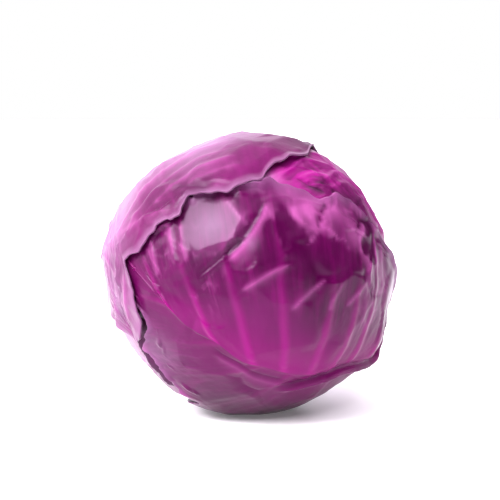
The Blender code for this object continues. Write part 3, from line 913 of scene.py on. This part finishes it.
def stem(material):
    """The cut stem with its scars, a pale woody ring round the pith and a face cut nearly flat."""
    bpy.ops.object.select_all(action="DESELECT")
    bpy.ops.mesh.primitive_grid_add(x_subdivisions=STEM_GRID[0], y_subdivisions=STEM_GRID[1], size=2)
    stump = bpy.context.object
    stump.name = stump.data.name = "stem_stump_fine"
    flat = points_of(stump.data)
    turn = (flat[:, 0] + 1) * math.pi
    run = (flat[:, 1] + 1) / 2
    barrel = np.clip(run / CUT_FACE, 0, 1)
    face = np.clip((run - CUT_FACE) / (1 - CUT_FACE), 0, 1)
    scar = SCAR_DEPTH * np.cos(STEM_SCARS * turn) * np.sin(math.pi * barrel)
    grain = 0.00012 * fractal(np.column_stack((np.cos(turn) * 3, np.sin(turn) * 3, barrel)), 0.5)
    shoulder = 0.0008 * smooth((barrel - 0.85) / 0.15) * (face == 0)
    radius = (STEM_RADIUS - STEM_ROOM + scar + grain - shoulder * barrel) * (1 - face)
    woody = np.exp(-(((face - 0.32) / 0.10) ** 2))
    bundles = woody * (0.5 + 0.5 * np.cos(turn * STEM_BUNDLES)) * (face > 0)
    height = STEM_SEAT + 0.0003 + (STEM_END - STEM_SEAT) * barrel
    height = height - 0.0004 * smooth(face / 0.5) * (face > 0) + 0.00015 * bundles
    across = np.array(Vector(STEM_AXIS).orthogonal().normalized())
    beside = np.cross(STEM_AXIS, across)
    side = np.cos(turn)[:, None] * across + np.sin(turn)[:, None] * beside
    places = CENTRE + STEM_AXIS * height[:, None] + side * radius[:, None]
    stump.data.vertices.foreach_set("co", places.ravel())
    store(stump.data, "rib", np.clip(bundles, 0, 1))
    store(stump.data, "edge", np.clip(0.15 + face * 3, 0, 1))
    stump.data.update()
    merge_doubled_points()
    bpy.ops.mesh.edge_face_add()
    bpy.ops.mesh.normals_make_consistent(inside=False)
    bpy.ops.object.mode_set(mode="OBJECT")
    hand_over(stump, "stem_stump", material)


def new_material(name):
    material = bpy.data.materials.new(name)
    material.use_nodes = True
    return material, material.node_tree, material.node_tree.nodes["Principled BSDF"]


def add(tree, kind, label="", **settings):
    node = tree.nodes.new(kind)
    node.label = label
    for key, value in settings.items():
        setattr(node, key, value)
    return node


def feed(tree, socket, value):
    """Gives a socket its value, which is another socket or fixed."""
    if isinstance(value, bpy.types.NodeSocket):
        tree.links.new(value, socket)
    else:
        socket.default_value = value


def calculate(tree, label, operation, *values, kind="Math"):
    """A calculation on sockets and fixed values."""
    node = add(tree, "ShaderNode" + kind, label, operation=operation)
    for socket, value in zip(node.inputs, values):
        feed(tree, socket, value)
    return node.outputs["Value" if operation == "DOT_PRODUCT" else 0]


def effect(name, inputs, outputs):
    """An effect that several materials share: a node group with named inputs and outputs."""
    group = bpy.data.node_groups.new(name, "ShaderNodeTree")
    for label, kind, value in inputs:
        socket = group.interface.new_socket(label, in_out="INPUT", socket_type="NodeSocket" + kind)
        socket.default_value = value
    for label, kind in outputs:
        group.interface.new_socket(label, in_out="OUTPUT", socket_type="NodeSocket" + kind)
    return group, add(group, "NodeGroupInput"), add(group, "NodeGroupOutput")


def blend(tree, label, share, low, high, kind="MIX"):
    """Mixes two colours. Each of the three is a socket or a fixed value."""
    mix = add(tree, "ShaderNodeMix", label, data_type="RGBA", blend_type=kind)
    for socket, value in (("Factor", share), ("A", low), ("B", high)):
        feed(tree, mix.inputs[socket], value)
    return mix.outputs["Result"]


def remap(tree, label, value, low, high, to_low, to_high):
    """Carries a value from one range to another. The new range is sockets or fixed values."""
    node = add(tree, "ShaderNodeMapRange", label)
    names = ("Value", "From Min", "From Max", "To Min", "To Max")
    for socket, bound in zip(names, (value, low, high, to_low, to_high)):
        feed(tree, node.inputs[socket], bound)
    return node.outputs["Result"]


def noise_of(tree, label, vector, scale, detail):
    node = add(tree, "ShaderNodeTexNoise", label)
    node.inputs["Scale"].default_value = scale
    node.inputs["Detail"].default_value = detail
    tree.links.new(vector, node.inputs["Vector"])
    return node.outputs["Fac"]


def attribute(tree, name):
    return add(tree, "ShaderNodeAttribute", name, attribute_name=name).outputs["Fac"]


def mottling():
    """Patches of darker and lighter colour, a few centimetres and a few millimetres wide."""
    colours = [("Dark", "Color", (0, 0, 0, 1)), ("Light", "Color", (1, 1, 1, 1))]
    group, given, made = effect("mottling", colours, [("Color", "Color")])
    place = add(group, "ShaderNodeTexCoord").outputs["Object"]
    patches = noise_of(group, "patches", place, PATCH_SCALE, 4)
    spread = remap(group, "patches", patches, 0.32, 0.68, 0, 1)
    colour = blend(group, "patches", spread, given.outputs["Dark"], given.outputs["Light"])
    group.links.new(colour, made.inputs["Color"])
    return group


def silk():
    """The fine streaks between the ribs, drawn out from the midrib to the edge."""
    inputs = [("Strength", "Float", 0.2)]
    group, given, made = effect("silk", inputs, [("Mask", "Float")])
    lay = add(group, "ShaderNodeUVMap", "along the leaf", uv_map="UVMap")
    streaks = []
    for label, scale, detail in (("broad streaks", (34, 3, 1), 2), ("fine streaks", (120, 8, 1), 3)):
        drawn = add(group, "ShaderNodeMapping", label)
        drawn.inputs["Scale"].default_value = scale
        group.links.new(lay.outputs["UV"], drawn.inputs["Vector"])
        streaks.append(noise_of(group, label, drawn.outputs["Vector"], 1.0, detail))
    both = calculate(group, "both", "MULTIPLY", *streaks)
    mask = remap(group, "streaks", both, 0.20, 0.42, 0, given.outputs["Strength"])
    group.links.new(mask, made.inputs["Mask"])
    return group


def margin_and_folds():
    """The dull rim of a leaf, the painted shade in the valleys of its folds and the painted highlight on
    their crests.
    """
    inputs = [
        ("Blade", "Color", (0, 0, 0, 1)),
        ("Rim", "Color", (0, 0, 0, 1)),
        ("Rim Strength", "Float", RIM_STRENGTH),
    ]
    group, given, made = effect("margin and folds", inputs, [("Color", "Color")])
    edge = attribute(group, "edge")
    rim = remap(group, "rim", edge, 0.04, 0.45, given.outputs["Rim Strength"], 0.0)
    rimmed = blend(group, "rim", rim, given.outputs["Blade"], given.outputs["Rim"])
    painted_shade = attribute(group, "painted_shade")
    pressed = blend(group, "dark valleys", painted_shade, rimmed, PAINTED_SHADE_COLOUR)
    crest = remap(group, "pale crests", attribute(group, "painted_highlight"), 0, 1, 0, PAINTED_HIGHLIGHT_STRENGTH)
    folded = blend(group, "pale crests", crest, pressed, PAINTED_HIGHLIGHT_COLOUR)
    group.links.new(folded, made.inputs["Color"])
    return group


def bloom():
    """The thin pale waxy film on a leaf, rubbed away in patches; in its spots it also paints the pale
    reflection of the bright studio.
    """
    inputs = [("Color", "Color", (0, 0, 0, 1)), ("Amount", "Float", 0.02)]
    group, given, made = effect("bloom", inputs, [("Color", "Color")])
    place = add(group, "ShaderNodeTexCoord").outputs["Object"]
    dust = noise_of(group, "wax_and_painted_reflection", place, WAX_SCALE, 6)
    thin = remap(group, "thin wax", dust, 0.35, 0.75, 0, given.outputs["Amount"])
    rubbed = remap(group, "rubbed wax", dust, 0.25, 0.6, 0.55, 1.0)
    thick = calculate(group, "thick wax", "MULTIPLY_ADD", attribute(group, "wax_and_painted_reflection"), rubbed, thin)
    waxed = blend(group, "wax_and_painted_reflection", thick, given.outputs["Color"], WAX_AND_REFLECTION_COLOUR)
    group.links.new(waxed, made.inputs["Color"])
    return group


def skin_bump():
    """The fine grain of the skin, as a height."""
    group, given, made = effect("skin grain", [("Scale", "Float", GRAIN_SCALE)], [("Height", "Float")])
    place = add(group, "ShaderNodeTexCoord").outputs["Object"]
    grain = add(group, "ShaderNodeTexNoise", "grain")
    grain.inputs["Detail"].default_value = 5
    group.links.new(place, grain.inputs["Vector"])
    group.links.new(given.outputs["Scale"], grain.inputs["Scale"])
    group.links.new(grain.outputs["Fac"], made.inputs["Height"])
    return group


EFFECTS = {make.__name__: make() for make in (mottling, silk, margin_and_folds, bloom, skin_bump)}


def placed(tree, name, **values):
    """One of the shared effects, placed in a material with its own values."""
    node = add(tree, "ShaderNodeGroup", name.replace("_", " "), node_tree=EFFECTS[name])
    for label, value in values.items():
        feed(tree, node.inputs[label.replace("_", " ")], value)
    return node.outputs[0]


def skin(name, blade, vein, rim, wax_and_painted_reflection, roughness, sheen, streaks):
    """The skin of a leaf: dark blade, bright ribs, dull rim, painted shade and highlight on its folds, and
    a pale waxy film that also paints pale reflection.
    """
    material, tree, shader = new_material(name)
    tone = placed(
        tree,
        "mottling",
        Dark=(*[c * DARK_PATCH for c in blade], 1),
        Light=(*[c * LIGHT_PATCH for c in blade], 1),
    )
    fine = placed(tree, "silk", Strength=streaks)
    veined = calculate(tree, "ribs and silk", "MAXIMUM", attribute(tree, "rib"), fine)
    ribbed = blend(tree, "ribs", veined, tone, (*vein, 1))
    rimmed = placed(tree, "margin_and_folds", Blade=ribbed, Rim=(*rim, 1), Rim_Strength=RIM_STRENGTH)
    waxed = placed(tree, "bloom", Color=rimmed, Amount=wax_and_painted_reflection)
    tree.links.new(waxed, shader.inputs["Base Color"])
    bump = add(tree, "ShaderNodeBump", "skin")
    bump.inputs["Strength"].default_value = GRAIN_STRENGTH
    bump.inputs["Distance"].default_value = GRAIN_HEIGHT
    tree.links.new(placed(tree, "skin_bump", Scale=GRAIN_SCALE), bump.inputs["Height"])
    tree.links.new(bump.outputs["Normal"], shader.inputs["Normal"])
    shader.inputs["Roughness"].default_value = roughness
    shader.inputs["Specular IOR Level"].default_value = GLOSS_LEVEL
    shader.inputs["Specular Tint"].default_value = GLOSS_TINT
    shader.inputs["Sheen Weight"].default_value = sheen
    shader.inputs["Sheen Roughness"].default_value = SHEEN_ROUGHNESS
    shader.inputs["Sheen Tint"].default_value = SHEEN_TINT
    return material


def floor_material():
    material, tree, shader = new_material("white_table")
    shader.inputs["Base Color"].default_value = TABLE_COLOUR
    shader.inputs["Roughness"].default_value = TABLE_ROUGHNESS
    shader.inputs["Emission Color"].default_value = TABLE_GLOW
    shader.inputs["Emission Strength"].default_value = TABLE_GLOW_STRENGTH
    return material


def table():
    """The white table and backdrop in one, which isn't part of the cabbage."""
    bpy.ops.object.select_all(action="DESELECT")
    bpy.ops.mesh.primitive_plane_add(size=TABLE_SIZE)
    floor = bpy.context.object
    floor.name = "table"
    floor.data.materials.append(floor_material())


def soft_box(tree, way, azimuth, elevation, inner, outer, strength):
    """A round lamp with soft edges in the surroundings; its radii are in degrees."""
    lamp = directions([(azimuth, elevation)])[0]
    towards = calculate(tree, "towards the lamp", "DOT_PRODUCT", way, lamp, kind="VectorMath")
    near, far = math.cos(math.radians(inner)), math.cos(math.radians(outer))
    return remap(tree, "soft box", towards, far, near, 0, strength)


def dark_side(tree, way):
    """The unlit part of the studio, in front and to the right, below the lamps."""
    parts = add(tree, "ShaderNodeSeparateXYZ")
    tree.links.new(way, parts.inputs[0])
    level = add(tree, "ShaderNodeCombineXYZ")
    tree.links.new(parts.outputs["X"], level.inputs["X"])
    tree.links.new(parts.outputs["Y"], level.inputs["Y"])
    flat = calculate(tree, "level", "NORMALIZE", level.outputs[0], kind="VectorMath")
    middle = directions([(DARK_AZIMUTH, 0)])[0]
    towards = calculate(tree, "towards the dark side", "DOT_PRODUCT", flat, middle, kind="VectorMath")
    far, near = (math.cos(math.radians(a)) for a in DARK_HALF_WIDTHS)
    beside = remap(tree, "beside", towards, far, near, 0, 1)
    below = remap(tree, "below the lamps", parts.outputs["Z"], *DARK_TOPS, 0, 1)
    return calculate(tree, "dark side", "MULTIPLY", beside, below)


def surroundings():
    """A white studio with a dark side and soft boxes, for the leaves to mirror."""
    world = bpy.data.worlds.new("studio")
    bpy.context.scene.world = world
    world.use_nodes = True
    tree = world.node_tree
    tree.nodes.clear()
    way = add(tree, "ShaderNodeTexCoord").outputs["Generated"]
    colour = blend(tree, "studio", dark_side(tree, way), ROOM, DARK)
    for box in SOFT_BOXES:
        colour = blend(tree, "soft box", soft_box(tree, way, *box), colour, (1, 1, 1, 1), "ADD")
    for node in tree.nodes:
        if node.bl_idname == "ShaderNodeMix":
            node.clamp_factor = False  # a soft box is brighter than 1
    light = add(tree, "ShaderNodeBackground", "room light")
    tree.links.new(colour, light.inputs["Color"])
    seen = add(tree, "ShaderNodeBackground", "backdrop")
    seen.inputs["Color"].default_value = BACKDROP
    path = add(tree, "ShaderNodeLightPath")
    mix = add(tree, "ShaderNodeMixShader")
    out = add(tree, "ShaderNodeOutputWorld")
    tree.links.new(path.outputs["Is Camera Ray"], mix.inputs[0])
    tree.links.new(light.outputs[0], mix.inputs[1])
    tree.links.new(seen.outputs[0], mix.inputs[2])
    tree.links.new(mix.outputs[0], out.inputs["Surface"])


def ceiling_light():
    """Broad light from above the camera, which the leaves don't mirror."""
    data = bpy.data.lights.new("ceiling light", "SUN")
    data.energy = CEILING_STRENGTH
    data.angle = math.radians(CEILING_WIDTH)
    data.color = CEILING_COLOUR
    obj = bpy.data.objects.new("ceiling light", data)
    bpy.context.scene.collection.objects.link(obj)
    obj.visible_glossy = False
    towards = Vector(directions([CEILING_PLACE])[0])
    obj.rotation_euler = towards.to_track_quat("Z", "Y").to_euler()


def camera():
    """The photograph's view: level with the head, from just above."""
    elevation = math.radians(CAMERA_ELEVATION)
    data = bpy.data.cameras.new("camera")
    obj = bpy.data.objects.new("camera", data)
    bpy.context.scene.collection.objects.link(obj)
    obj.location = MIDDLE + Vector((0, -math.cos(elevation), math.sin(elevation))) * CAMERA_DISTANCE
    obj.rotation_euler = (MIDDLE - obj.location).to_track_quat("-Z", "Y").to_euler()
    data.sensor_width = CAMERA_SENSOR
    data.lens = CAMERA_LENS
    data.shift_x, data.shift_y = CAMERA_SHIFT
    bpy.context.scene.camera = obj


camera()
surroundings()
ceiling_light()
table()
bpy.context.scene.view_settings.view_transform = "Standard"

skins = {name: skin(name, *values) for name, values in SKINS.items()}
stack = [inner_ball(skins["inner_skin"])]
for leaf_name in LEAVES:
    finish = skins[leaf_name.replace("leaf", "skin")]
    stack.append(wrapper_leaf(leaf_name, stack, finish))
stem(skins["cut_stem"])
